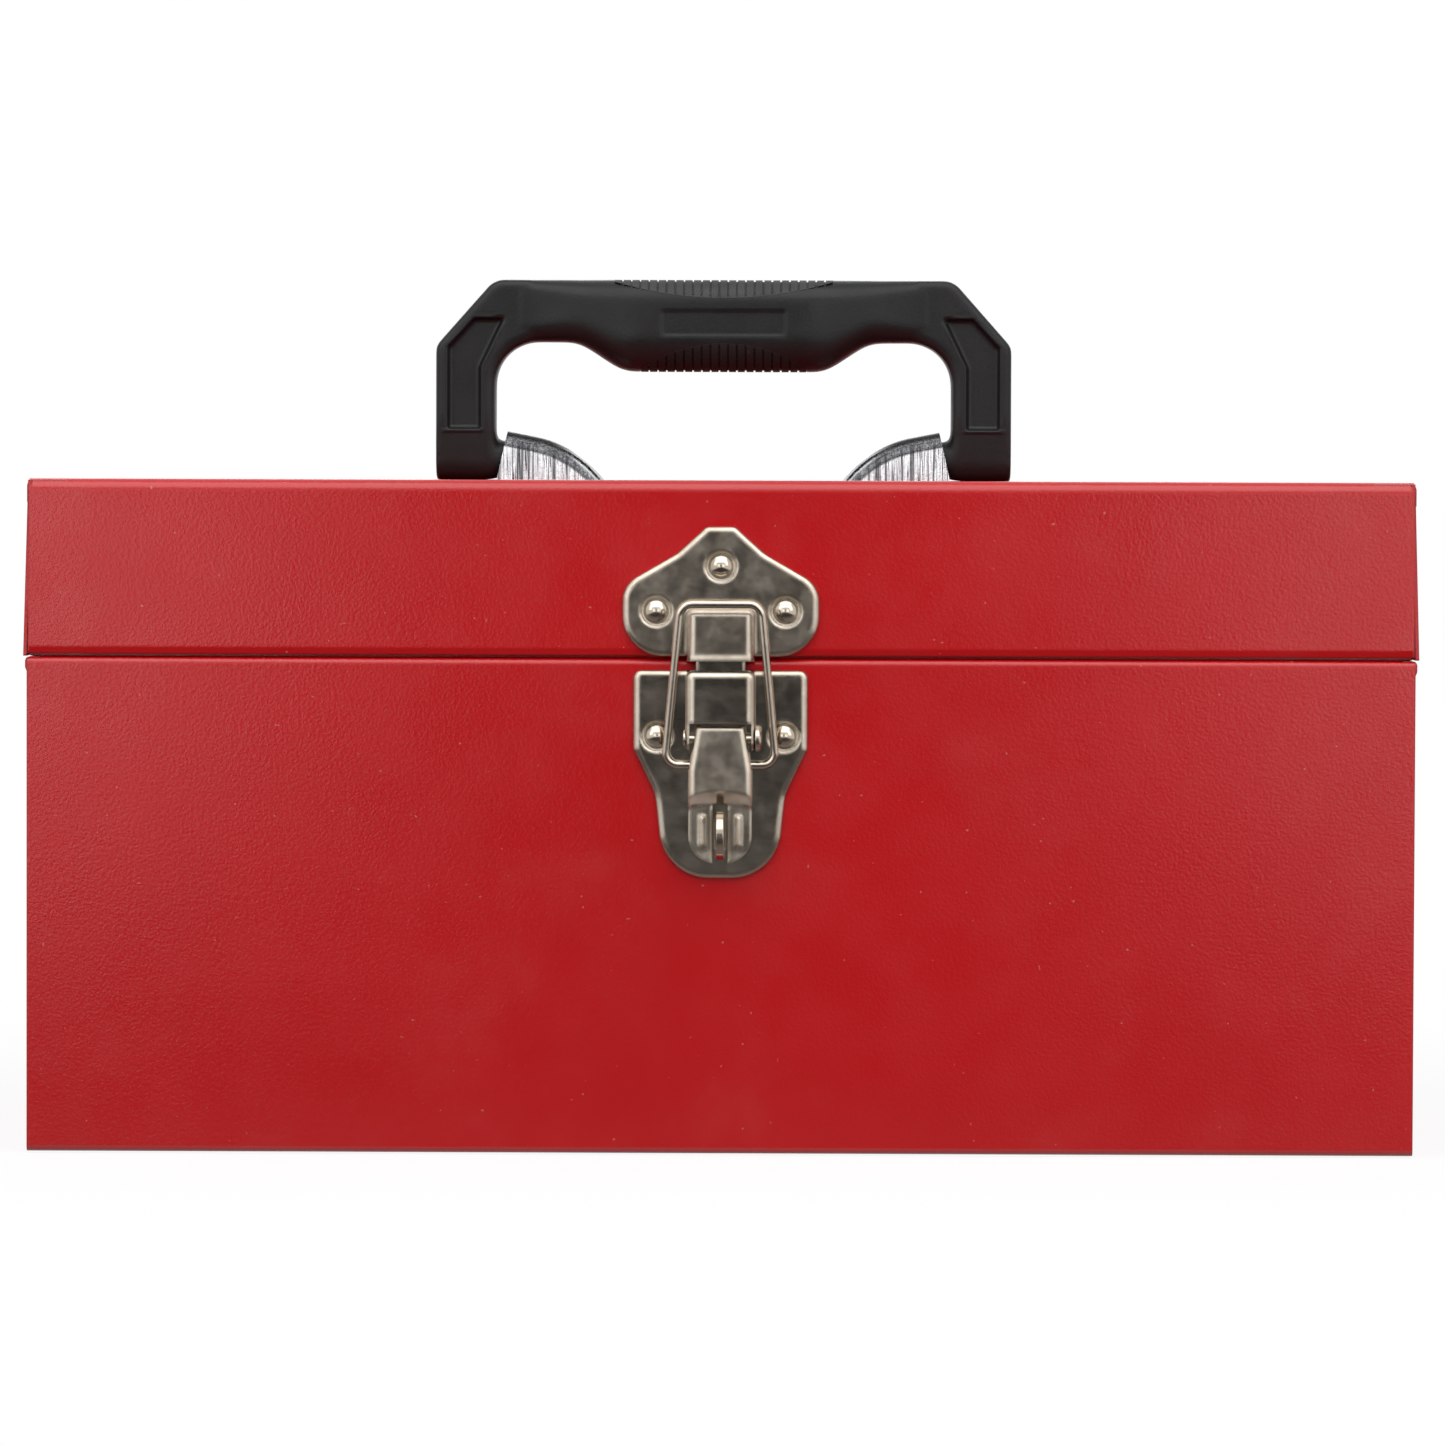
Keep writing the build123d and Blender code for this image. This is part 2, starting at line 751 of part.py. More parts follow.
def padlock_staple():
    straight = staple_hole_out - plate_rise
    profile = Pos(plate_rise + straight / 2, staple_height) * Rectangle(straight, 2 * staple_half)
    profile += Pos(staple_hole_out, staple_height) * Circle(staple_half)
    profile += Pos(plate_rise - tenon_depth / 2, staple_height) * Rectangle(tenon_depth, 2 * tenon_half)
    staple = across(profile, staple_thick / 2)
    return staple - cross_rod(staple_hole_out, staple_height, staple_hole, -staple_half, staple_half)


def scoop(inset):
    centre_x, centre_z = bracket_nose_centre
    radius = bracket_nose_radius - inset
    slope = radians(bracket_slope)
    knee = (centre_x - radius * sin(slope), centre_z + radius * cos(slope))
    nose = CenterArc(bracket_nose_centre, radius, 90 + bracket_slope, bracket_nose_angle)
    low = nose @ 1
    open_end = 3 * inset
    ridge = knee[1] + (bracket_ridge - knee[0]) * tan(slope)
    lean = (bracket_outer - bracket_ridge) / (ridge + inset)
    outer = bracket_outer - low.Y * lean + open_end
    sides = Polyline(low, (outer, low.Y), (bracket_ridge + open_end, ridge), knee)
    solid = along_y(make_face(nose + sides), bracket_half - inset)
    walls = [f for f in solid.faces() if abs(f.normal_at().Y) > facing_cosine]
    edges = [e for f in walls for e in f.edges()]
    crest = [e for e in edges if e.center().Z > low.Y + margin and e.center().X < bracket_ridge]
    return fillet(crest, bracket_round - inset)


def handle_bracket():
    above = block(0, box_width, -half_depth, half_depth, 0, box_height)
    shell = (scoop(0) & above) - scoop(bracket_wall)
    tab_in, tab_out = bracket_tab_in, bracket_tab_out
    outer = bracket_half
    under = -sheet - bracket_wall
    tab = block(tab_in, tab_out, outer - bracket_wall, outer, under, bracket_wall)
    tab += block(tab_in, tab_out, outer - bracket_wall, outer + bracket_tab_fold, under, -sheet)
    return on_lid(shell + tab + mirror(tab, about=Plane.XZ))


def grip_bar(low, corner, inset):
    height = handle_top - low - 2 * inset
    profile = RectangleRounded(2 * (grip_depth - inset), height, corner - inset)
    return along_x(Pos(0, (low + handle_top) / 2) * profile, grip_reach)


def grip_solid(inset):
    top = handle_top - inset
    neck_x, neck_radius = grip_swell[0]
    swell_x, swell_radius = grip_swell[1]
    front = both_sides([
        (grip_reach, top, 0),
        (grip_reach, neck_low + inset, 0),
        (neck_x, neck_low + inset, neck_radius),
        (swell_x, grip_low + inset, swell_radius),
    ])
    right = [
        (grip_taper_start, grip_depth - inset, grip_taper_bend),
        (grip_taper_end, grip_taper_depth - inset, grip_taper_bend),
        (grip_reach, handle_leg_depth - inset, 0),
    ]
    plan = right + [(x, -y, r) for x, y, r in reversed(right)]
    plan += [(-x, -y, r) for x, y, r in right] + [(-x, y, r) for x, y, r in reversed(right)]
    bar = along_y(front, box_depth) & extrude(outline(plan), amount=box_height)
    return (bar & grip_bar(grip_low, grip_round, inset)) + (bar & grip_bar(neck_low, neck_round, inset))


def pad_region(half, edge, middle, far):
    arc = ThreePointArc((-half, edge), (0, middle), (half, edge))
    return make_face(arc + Polyline((half, edge), (half, far), (-half, far), (-half, edge)))


def pad_top_zone():
    low = handle_top - pad_top_drop
    return along_y(pad_region(pad_top_half, handle_top, low, handle_top + pad_top_drop), box_depth)


def pad_low_zone():
    high = grip_low + pad_low_rise
    return along_y(pad_region(pad_low_half, grip_low, high, grip_low - pad_low_rise), box_depth)


def ribbed(zone, half):
    count = int(half / rib_pitch) - 1
    rib = (rib_pitch - rib_groove) / 2
    slabs = []
    for i in range(-count, count + 1):
        x = i * rib_pitch
        slabs.append(block(x - rib, x + rib, -half_depth, half_depth, 0, box_height).solid())
    ribs = grip_solid(0) & zone & Compound(slabs)
    return (grip_solid(rib_depth) & zone) + ribs


def handle_leg():
    top, inner, foot = handle_top, handle_leg_inner, handle_foot
    shape = [
        (handle_half, foot, 0),
        (handle_half, shoulder_height, shoulder_low_round),
        (handle_half - shoulder_width, top, shoulder_high_round),
        (inner, top, 0),
        (inner, handle_window_top, 0),
        (handle_leg_half, handle_window_top, handle_window_corner),
        (handle_leg_half, foot, 0),
    ]
    leg = along_y(outline(shape), handle_leg_depth)
    for face in (leg.faces().sort_by(Axis.Y)[0], leg.faces().sort_by(Axis.Y)[-1]):
        edges = [e for e in face.edges() if e.center().Z > foot + margin and e.center().X > inner + margin]
        leg = fillet(leg.edges().filter_by(lambda e: any(e.is_same(k) for k in edges)), handle_leg_edge)
    d, f = handle_leg_depth, handle_foot_depth
    right = [(f, trunnion_height), (d, handle_taper_height), (d, top + margin)]
    arc = ThreePointArc((-f, trunnion_height), (0, foot), (f, trunnion_height))
    sides = Polyline(*right, *[(-y, z) for y, z in reversed(right)])
    leg &= along_x(make_face(arc + sides), box_width)
    pocket = outline([(handle_half - x, z, r) for x, z, r in pocket_outline])
    for sign in (-1, 1):
        floor = sign * (handle_leg_depth - pocket_depth)
        cut = extrude(Pos(0, floor, 0) * (Plane.XZ * pocket), amount=-sign * pocket_depth * 4)
        leg -= cut
    trunnion_outer = handle_half - trunnion_set_back
    trunnion = Rot(0, 90, 0) * Cylinder(trunnion_radius, trunnion_outer - trunnion_inner)
    return leg + Pos((trunnion_inner + trunnion_outer) / 2, 0, trunnion_height) * trunnion


def handle_frame():
    leg = handle_leg()
    frame = grip_solid(0) + leg + right_to_left(leg)
    frame -= [pad_top_zone(), pad_low_zone()]
    plaque = RectangleRounded(2 * plaque_half, plaque_high - plaque_low, plaque_corner)
    plaque = Pos(0, (plaque_low + plaque_high) / 2) * plaque
    return frame - (along_y(plaque, box_depth) - grip_solid(plaque_sink))


end = body_end()
rest = tray_rest()
bracket = handle_bracket()

save("body_wrap", body_wrap())
save("body_end_right", end)
save("body_end_left", right_to_left(end))
save("hinge_leaf_body", hinge_leaf_piece(0, -1))
save("hinge_leaf_lid", hinge_leaf_piece(1, 1))
save("hinge_pin", barrel(hinge_pin_radius, -hinge_length / 2, hinge_length / 2))
save("tray_rest_right", rest)
save("tray_rest_left", right_to_left(rest))
save("lid_shell", lid_shell())
save("keeper_plate", on_seam(keeper_plate()))
save("keeper_rivets", on_seam(Compound(children=rivets(keeper_rivet_points, sheet))))
save("latch_base_plate", on_seam(base_plate()))
save("latch_base_rivets", on_seam(Compound(children=rivets(base_rivet_points, sheet))))
save("latch_bridge", on_seam(latch_bridge()))
save("lever_pin", on_seam(lever_pin()))
save("latch_lever", on_seam(latch_lever()))
save("latch_bail", on_seam(latch_bail()))
save("padlock_staple", on_seam(padlock_staple()))
save("handle_bracket_right", bracket)
save("handle_bracket_left", right_to_left(bracket))
save("handle_frame", on_lid(handle_frame()))
save("grip_pad_top", on_lid(ribbed(pad_top_zone(), pad_top_half)))
save("grip_pad_bottom", on_lid(ribbed(pad_low_zone(), pad_low_half)))
save("tray_shell", tray_shell())
save("tray_handle", tray_handle())
save("tray_handle_rivets", Compound(children=tray_handle_rivets()))
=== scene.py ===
import math

import bmesh
import bpy
import numpy as np
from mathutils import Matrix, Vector


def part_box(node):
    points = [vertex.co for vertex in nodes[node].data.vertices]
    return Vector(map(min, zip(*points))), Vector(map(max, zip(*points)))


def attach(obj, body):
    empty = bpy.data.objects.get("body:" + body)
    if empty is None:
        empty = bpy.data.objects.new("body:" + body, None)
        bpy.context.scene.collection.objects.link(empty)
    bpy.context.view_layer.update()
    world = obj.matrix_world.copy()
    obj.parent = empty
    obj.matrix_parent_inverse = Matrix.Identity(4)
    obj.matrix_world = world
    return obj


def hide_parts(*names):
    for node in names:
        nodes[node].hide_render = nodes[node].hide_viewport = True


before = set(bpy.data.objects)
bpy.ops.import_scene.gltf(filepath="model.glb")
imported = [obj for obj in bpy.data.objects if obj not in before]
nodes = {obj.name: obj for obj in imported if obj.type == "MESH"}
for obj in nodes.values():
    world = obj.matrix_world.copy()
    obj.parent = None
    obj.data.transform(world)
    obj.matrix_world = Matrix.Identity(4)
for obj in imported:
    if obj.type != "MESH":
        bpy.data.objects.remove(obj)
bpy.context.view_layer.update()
scene = bpy.context.scene
scene.view_settings.view_transform = "Standard"


def linear(r, g, b):
    """A display colour, 0 to 255, as the scene's own linear colour."""
    parts = [c / 255 for c in (r, g, b)]
    return [c / 12.92 if c < 0.04045 else ((c + 0.055) / 1.055) ** 2.4 for c in parts] + [1]


def grey(level):
    return linear(level, level, level)


class Sheet:
    """A material and short calls for its nodes."""

    def __init__(self, name):
        self.material = bpy.data.materials.new(name)
        self.material.use_nodes = True
        self.tree = self.material.node_tree
        self.tree.nodes.clear()
        self.output = self.tree.nodes.new("ShaderNodeOutputMaterial")

    def add(self, kind, **values):
        node = self.tree.nodes.new("ShaderNode" + kind)
        for key, value in values.items():
            setattr(node, key, value)
        return node

    def put(self, value, socket):
        if isinstance(value, bpy.types.NodeSocket):
            self.tree.links.new(value, socket)
        else:
            socket.default_value = value

    def place(self, scale=(1, 1, 1)):
        """Points of the piece, stretched by scale."""
        coords = self.add("TexCoord").outputs["Object"]
        if scale == (1, 1, 1):
            return coords
        mapping = self.add("Mapping")
        self.put(coords, mapping.inputs["Vector"])
        self.put(scale, mapping.inputs["Scale"])
        return mapping.outputs["Vector"]

    def axes(self, vector):
        node = self.add("SeparateXYZ")
        self.put(vector, node.inputs[0])
        return node.outputs

    def noise(self, scale, detail=2.0, rough=0.5, stretch=(1, 1, 1)):
        node = self.add("TexNoise")
        self.put(self.place(stretch), node.inputs["Vector"])
        self.put(scale, node.inputs["Scale"])
        self.put(detail, node.inputs["Detail"])
        self.put(rough, node.inputs["Roughness"])
        return node.outputs["Fac"]

    def span(self, value, low, high, to_low=0.0, to_high=1.0):
        """A soft step: to_low where the value is under low, to_high where it is over high."""
        node = self.add("MapRange", interpolation_type="SMOOTHSTEP")
        ends = {"Value": value, "From Min": low, "From Max": high, "To Min": to_low, "To Max": to_high}
        for name, end in ends.items():
            self.put(end, node.inputs[name])
        return node.outputs["Result"]

    def math(self, kind, a, b=0.0):
        node = self.add("Math", operation=kind)
        self.put(a, node.inputs[0])
        self.put(b, node.inputs[1])
        return node.outputs[0]

    def blend(self, factor, a, b):
        node = self.add("Mix", data_type="RGBA")
        self.put(factor, node.inputs["Factor"])
        self.put(a, node.inputs["A"])
        self.put(b, node.inputs["B"])
        return node.outputs["Result"]

    def soft_edges(self, radius):
        node = self.add("Bevel", samples=4)
        self.put(radius, node.inputs["Radius"])
        return node.outputs["Normal"]

    def edge_mask(self, rounded, low=0.02, high=0.25):
        """1 along the edges of the piece, 0 on its flats."""
        dot = self.add("VectorMath", operation="DOT_PRODUCT")
        self.put(rounded, dot.inputs[0])
        self.put(self.add("NewGeometry").outputs["Normal"], dot.inputs[1])
        return self.span(self.math("SUBTRACT", 1.0, dot.outputs["Value"]), low, high)

    def bump(self, height, strength, distance, normal=None):
        node = self.add("Bump")
        self.put(strength, node.inputs["Strength"])
        self.put(distance, node.inputs["Distance"])
        self.put(height, node.inputs["Height"])
        if normal is not None:
            self.put(normal, node.inputs["Normal"])
        return node.outputs["Normal"]

    def shade(self, colour, roughness, normal, **fixed):
        node = self.add("BsdfPrincipled")
        self.put(colour, node.inputs["Base Color"])
        self.put(roughness, node.inputs["Roughness"])
        self.put(normal, node.inputs["Normal"])
        for name, value in fixed.items():
            node.inputs[name.replace("_", " ")].default_value = value
        self.tree.links.new(node.outputs["BSDF"], self.output.inputs["Surface"])
        return self.material


def red_paint():
    """Red enamel: a faint cloud, dust, pale specks, paler edges and a fine orange peel."""
    s = Sheet("red_paint")
    rounded = s.soft_edges(radius=0.0008)
    cloud = s.span(s.noise(7, detail=4, rough=0.6), 0.3, 0.7)
    colour = s.blend(cloud, linear(183, 13, 18), linear(189, 17, 22))
    dust = s.span(s.noise(45, detail=3, rough=0.5), 0.5, 0.9, to_high=0.05)
    colour = s.blend(dust, colour, linear(205, 130, 126))
    speck = s.span(s.noise(700, detail=1, rough=0.4), 0.77, 0.83, to_high=0.34)
    colour = s.blend(speck, colour, linear(214, 150, 140))
    # Paler colour along the rounded edges
    edge_paling = s.math("MULTIPLY", s.edge_mask(rounded), 0.10)
    colour = s.blend(edge_paling, colour, linear(214, 92, 88))
    peel = s.bump(s.noise(1300, detail=2, rough=0.5), strength=0.13, distance=0.0003, normal=rounded)
    fine = s.bump(s.noise(2400, detail=1, rough=0.5), strength=0.08, distance=0.0002, normal=peel)
    roughness = s.span(s.noise(60, detail=3, rough=0.6), 0.3, 0.7, to_low=0.16, to_high=0.22)
    return s.shade(colour, roughness, fine, Specular_IOR_Level=0.5)


def nickel(name, smooth, dull, edge):
    """Nickel plate with a brown stain: its roughness goes from smooth to dull, edge is its edges' radius."""
    s = Sheet(name)
    cloud = s.span(s.noise(90, detail=4, rough=0.6), 0.35, 0.7)
    colour = s.blend(cloud, linear(188, 178, 164), linear(172, 160, 145))
    stain = s.span(s.noise(260, detail=4, rough=0.6), 0.5, 0.9, to_high=0.25)
    colour = s.blend(stain, colour, linear(112, 100, 86))
    scratch = s.noise(240, detail=3, rough=0.6, stretch=(1, 1, 6))
    wavy = s.noise(160, detail=2, rough=0.5)
    normal = s.bump(wavy, strength=0.05, distance=0.0004, normal=s.soft_edges(edge))
    normal = s.bump(scratch, strength=0.03, distance=0.0002, normal=normal)
    roughness = s.span(s.noise(140, detail=4, rough=0.65), 0.3, 0.75, to_low=smooth, to_high=dull)
    return s.shade(colour, roughness, normal, Metallic=1.0)


def bright_chrome():
    """Chrome with draw lines up the side walls, a speckled crown darkened as painted shade, and a ridge
    painted black as a dark reflection.
    """
    s = Sheet("bright_chrome")
    cloud = s.span(s.noise(120, detail=3, rough=0.6), 0.3, 0.7)
    colour = s.blend(cloud, linear(216, 217, 219), linear(196, 197, 200))
    facing = s.axes(s.add("TexCoord").outputs["Normal"])
    side_wall = s.span(s.math("ABSOLUTE", facing["Y"]), 0.80, 0.97)
    lines = s.noise(1.0, detail=2, rough=0.6, stretch=(1100, 1, 25))
    stripes = s.math("MULTIPLY", s.span(lines, 0.47, 0.60, to_high=0.9), side_wall)
    colour = s.blend(stripes, colour, linear(84, 84, 87))
    pits = s.noise(1500, detail=2, rough=0.5)
    height = s.math("ADD", s.math("MULTIPLY", lines, side_wall), s.math("MULTIPLY", pits, 0.08))
    normal = s.bump(height, strength=1.0, distance=0.00035)
    # Painted shade: the upward-facing crown, away from the nose, is darkened with a speckle
    painted_shade_crown = s.span(facing["Z"], 0.03, 0.14)
    level = s.span(s.math("ABSOLUTE", facing["X"]), 0.26, 0.50, to_low=1.0, to_high=0.0)
    painted_shade_crown = s.math("MULTIPLY", painted_shade_crown, level)
    speckle = s.span(s.noise(2600, detail=2, rough=0.6), 0.35, 0.65, to_low=0.80, to_high=0.98)
    colour = s.blend(s.math("MULTIPLY", painted_shade_crown, speckle), colour, linear(42, 42, 45))
    # Painted reflection: surfaces facing up along the ridge are painted near black
    painted_dark_ridge = s.span(facing["Z"], 0.72, 0.90)
    colour = s.blend(painted_dark_ridge, colour, linear(18, 18, 19))
    pitted = s.span(pits, 0.3, 0.7, to_low=0.10, to_high=0.22)
    roughness = s.math("ADD", pitted, s.math("MULTIPLY", painted_shade_crown, 0.2))
    return s.shade(colour, roughness, normal, Metallic=1.0)


def zinc_steel():
    """Galvanised steel with a spangle."""
    s = Sheet("zinc_steel")
    flake = s.add("TexVoronoi")
    s.put(s.place(), flake.inputs["Vector"])
    s.put(420.0, flake.inputs["Scale"])
    spangle = s.span(flake.outputs["Distance"], 0.1, 0.7)
    colour = s.blend(spangle, linear(172, 174, 176), linear(148, 151, 155))
    grain = s.noise(500, detail=3, rough=0.5)
    normal = s.bump(grain, strength=0.06, distance=0.0003, normal=s.soft_edges(0.0003))
    roughness = s.span(s.noise(200, detail=4, rough=0.6), 0.3, 0.7, to_low=0.28, to_high=0.42)
    return s.shade(colour, roughness, normal, Metallic=1.0)


def black_plastic():
    """Black moulded plastic with a fine grain and a few scuffs."""
    s = Sheet("black_plastic")
    cloud = s.span(s.noise(40, detail=4, rough=0.6), 0.35, 0.7)
    colour = s.blend(cloud, linear(22, 23, 23), linear(28, 28, 29))
    scuff = s.span(s.noise(380, detail=5, rough=0.7, stretch=(1, 1, 0.4)), 0.66, 0.9, to_high=0.25)
    colour = s.blend(scuff, colour, linear(88, 89, 90))
    normal = s.bump(s.noise(1300, detail=2, rough=0.5), strength=0.14, distance=0.0003)
    roughness = s.span(s.noise(90, detail=4, rough=0.6), 0.3, 0.7, to_low=0.32, to_high=0.44)
    return s.shade(colour, roughness, normal, Specular_IOR_Level=0.24)


def grip_rubber(name, dark, light, gloss):
    """Dull rubber, a cloud of greys from dark to light, with scuffs."""
    s = Sheet(name)
    cloud = s.span(s.noise(60, detail=4, rough=0.6), 0.3, 0.7)
    colour = s.blend(cloud, grey(dark), grey(light))
    scuff = s.span(s.noise(520, detail=4, rough=0.7), 0.6, 0.85, to_high=0.3)
    colour = s.blend(scuff, colour, linear(104, 104, 102))
    grain = s.noise(1600, detail=3, rough=0.6)
    normal = s.bump(grain, strength=0.2, distance=0.0003, normal=s.soft_edges(0.0002))
    roughness = s.span(s.noise(150, detail=4, rough=0.6), 0.3, 0.7, to_low=0.58, to_high=0.72)
    return s.shade(colour, roughness, normal, Specular_IOR_Level=gloss)


finishes = {
    "red_paint": red_paint(),
    "nickel_plate": nickel("nickel_plate", smooth=0.12, dull=0.19, edge=0.0012),
    "nickel_worn": nickel("nickel_worn", smooth=0.15, dull=0.23, edge=0.0012),
    "nickel_lever": nickel("nickel_lever", smooth=0.17, dull=0.26, edge=0.0012),
    "nickel_small": nickel("nickel_small", smooth=0.14, dull=0.24, edge=0.0004),
    "bright_chrome": bright_chrome(),
    "zinc_steel": zinc_steel(),
    "black_plastic": black_plastic(),
    "grip_rubber": grip_rubber("grip_rubber", dark=34, light=46, gloss=0.50),
    # The lower pad's rubber is a darker copy of the top pad's, as painted shade under the grip
    "grip_rubber_painted_shade": grip_rubber("grip_rubber_painted_shade", dark=20, light=26, gloss=0.24),
}
kinds = {
    "nickel_plate": ("latch_base_plate", "latch_bridge"),
    "nickel_small": ("keeper_rivets", "latch_base_rivets", "lever_pin", "latch_bail", "padlock_staple"),
    "nickel_worn": ("keeper_plate",),
    "nickel_lever": ("latch_lever",),
    "bright_chrome": ("handle_bracket_left", "handle_bracket_right"),
    "zinc_steel": ("hinge_pin", "tray_handle", "tray_handle_rivets"),
    "black_plastic": ("handle_frame",),
    "grip_rubber": ("grip_pad_top",),
    # Painted shade: the lower pad gets the darker copy of the rubber
    "grip_rubber_painted_shade": ("grip_pad_bottom",),
}
for name, node in nodes.items():
    finish = next((kind for kind, members in kinds.items() if name in members), "red_paint")
    node.data.materials.clear()
    node.data.materials.append(finishes[finish])


# The handle, in metres: heights are above the lid, and both halves mirror each other
lid_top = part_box("lid_shell")[1].z
handle_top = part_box("handle_frame")[1].z - lid_top
handle_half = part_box("handle_frame")[1].x
leg_half_depth = 0.0065
leg_cut = 0.0505
grip_end = 0.053
grip_low = 0.0284
grip_stations = 143
window_half = 0.0596
window_top = 0.0360
window_corner = 0.0110
window_rim = 0.0032
window_fade = 0.0020
window_from = 0.044
window_to = 0.050
trunnion_height = 0.0056
heel_stretch = 0.07
# Pocket in each flat face of a leg: distance in from the handle's end, height
pocket = [
    (0.0030, 0.0131),
    (0.0030, 0.0348),
    (0.0100, 0.0424),
    (0.0181, 0.0424),
    (0.0119, 0.0295),
    (0.0119, 0.0131),
]
pocket_depth = 0.0021
pocket_reach = 0.0006
pocket_start = -0.0001
pocket_full = 0.0008
top_pad_half = 0.0302
top_pad_sag = 0.0049
low_pad_half = 0.0230
low_pad_rise = 0.0073
pad_recess = 0.0008
pad_recess_start = 0.0006
pad_recess_full = 0.0014
field_half = 0.0165
field_height = 0.0410
field_half_height = 0.0036
field_edge = 0.0008
field_depth = 0.00035
voxel = 0.0006
quarter_points = 9
smooth_rounds = 3
rim_rounds = 24


def eased(x, knots, values, spread):
    """Values along the handle, straight between knots and rounded over at them."""
    reach, pace = 0.080, 0.0005
    fine = np.arange(-reach, reach + pace / 5, pace)
    line = np.interp(np.abs(fine), knots, values)
    steps = np.arange(-3 * spread, 3 * spread + 1e-9, pace)
    weight = np.exp(-0.5 * (steps / spread) ** 2)
    line = np.convolve(np.pad(line, len(steps) // 2, "edge"), weight / weight.sum(), "valid")
    return np.interp(x, fine, line)


def grip_sweep(work):
    """The grip: rounded sections from leg to leg, deep and low in the middle, slim at the necks."""
    stations = np.linspace(-grip_end, grip_end, grip_stations)
    depth = eased(stations, [0.024, 0.042, 0.050], [0.0120, 0.0076, 0.0066], 0.0030)
    low = eased(stations, [0.0266, 0.0380], [grip_low, window_top], 0.0022)
    round_low = eased(stations, [0.024, 0.040, 0.050], [0.0096, 0.0062, 0.0045], 0.0030)
    round_top = eased(stations, [0.024, 0.040, 0.050], [0.0060, 0.0048, 0.0030], 0.0030)
    quarter = math.pi / 2
    turn = np.linspace(0, quarter, quarter_points)
    rings = []
    for x, d, z, r, t in zip(stations, depth, low, round_low, round_top):
        upper, lower = handle_top - t, z + r
        corners = [(d - t, upper, t, 0), (t - d, upper, t, 1), (r - d, lower, r, 2), (d - r, lower, r, 3)]
        ring = []
        for y, height, radius, corner in corners:
            for angle in turn + corner * quarter:
                point = (x, y + radius * math.cos(angle), lid_top + height + radius * math.sin(angle))
                ring.append(work.verts.new(point))
        rings.append(ring)
    for first, second in zip(rings, rings[1:]):
        for i in range(len(first)):
            j = (i + 1) % len(first)
            work.faces.new((first[i], first[j], second[j], second[i]))
    work.faces.new(rings[0])
    work.faces.new(rings[-1][::-1])


def leg_ends(work):
    """The two legs of the handle, cut off where the grip begins."""
    for side in (-1, 1):
        leg = bmesh.new()
        leg.from_mesh(nodes["handle_frame"].data)
        bmesh.ops.remove_doubles(leg, verts=leg.verts, dist=1e-6)
        parts = leg.verts[:] + leg.edges[:] + leg.faces[:]
        plane = {"plane_co": (side * leg_cut, 0, 0), "plane_no": (side, 0, 0)}
        cut = bmesh.ops.bisect_plane(leg, geom=parts, clear_inner=True, **plane)
        rim = [item for item in cut["geom_cut"] if isinstance(item, bmesh.types.BMEdge)]
        bmesh.ops.edgeloop_fill(leg, edges=rim)
        mesh = bpy.data.meshes.new("leg")
        leg.to_mesh(mesh)
        leg.free()
        work.from_mesh(mesh)
        bpy.data.meshes.remove(mesh)


def remeshed(name, work):
    """One closed skin round all the shapes in work, as a new object."""
    mesh = bpy.data.meshes.new(name)
    work.to_mesh(mesh)
    work.free()
    piece = bpy.data.objects.new(name, mesh)
    scene.collection.objects.link(piece)
    remesh = piece.modifiers.new("remesh", "REMESH")
    remesh.mode = "VOXEL"
    remesh.voxel_size = voxel
    solid = piece.evaluated_get(bpy.context.evaluated_depsgraph_get())
    mesh = bpy.data.meshes.new_from_object(solid)
    piece.modifiers.clear()
    piece.data = mesh
    return piece


def read(mesh, what):
    values = np.zeros(len(mesh.vertices) * 3)
    mesh.vertices.foreach_get(what, values)
    return values.reshape(-1, 3)


def write(mesh, points):
    mesh.vertices.foreach_set("co", points.ravel())
    mesh.update()


def relaxed(mesh, points, share, rounds):
    """Points drawn towards the middle of their neighbours, by each point's share."""
    ends = np.zeros(len(mesh.edges) * 2, int)
    mesh.edges.foreach_get("vertices", ends)
    a, b = ends.reshape(-1, 2).T
    count = len(points)
    degree = np.bincount(np.concatenate([a, b]), minlength=count)[:, None]
    for _ in range(rounds):
        total = [np.bincount(a, points[b, i], count) + np.bincount(b, points[a, i], count) for i in range(3)]
        points = points + 0.5 * share[:, None] * (np.stack(total, 1) / degree - points)
    return points


def ramp(value, low, high):
    t = np.clip((value - low) / (high - low), 0, 1)
    return t * t * (3 - 2 * t)


def near_window(points):
    """1 by the window's edge at the legs, fading to 0 away from it."""
    x, height = np.abs(points[:, 0]), points[:, 2] - lid_top
    across = x - (window_half - window_corner)
    up = height - (window_top - window_corner)
    outside = np.hypot(np.maximum(across, 0), np.maximum(up, 0))
    beyond = outside + np.minimum(np.maximum(across, up), 0) - window_corner
    return ramp(window_rim - beyond, 0.0, window_fade) * ramp(x, window_from, window_to)


def pocketed(points):
    """A pocket sunk in the leg's flat faces: how far a point is inside the outline sets its depth."""
    along = handle_half - np.abs(points[:, 0])
    height = points[:, 2] - lid_top
    sides = []
    for (x0, z0), (x1, z1) in zip(pocket, pocket[1:] + pocket[:1]):
        run, rise = x1 - x0, z1 - z0
        sides.append(((along - x0) * rise - (height - z0) * run) / math.hypot(run, rise))
    outer, chamfer, top, slant, inner, bottom = sides
    inside = np.min([outer, chamfer, top, np.maximum(slant, inner), bottom], axis=0)
    flat = (inside > -pocket_reach) & (np.abs(points[:, 1]) > leg_half_depth / 2)
    depth = leg_half_depth - pocket_depth * ramp(inside, pocket_start, pocket_full)
    moved = points.copy()
    moved[flat, 1] = np.sign(points[flat, 1]) * depth[flat]
    return moved


def arc_height(x, half, edge, middle):
    """Height at x of the arc through both ends of a pad and its middle."""
    sag = abs(edge - middle)
    radius = (half ** 2 + sag ** 2) / (2 * sag)
    drop = np.sqrt(np.maximum(radius ** 2 - x ** 2, 0)) - (radius - sag)
    return edge + np.sign(middle - edge) * drop


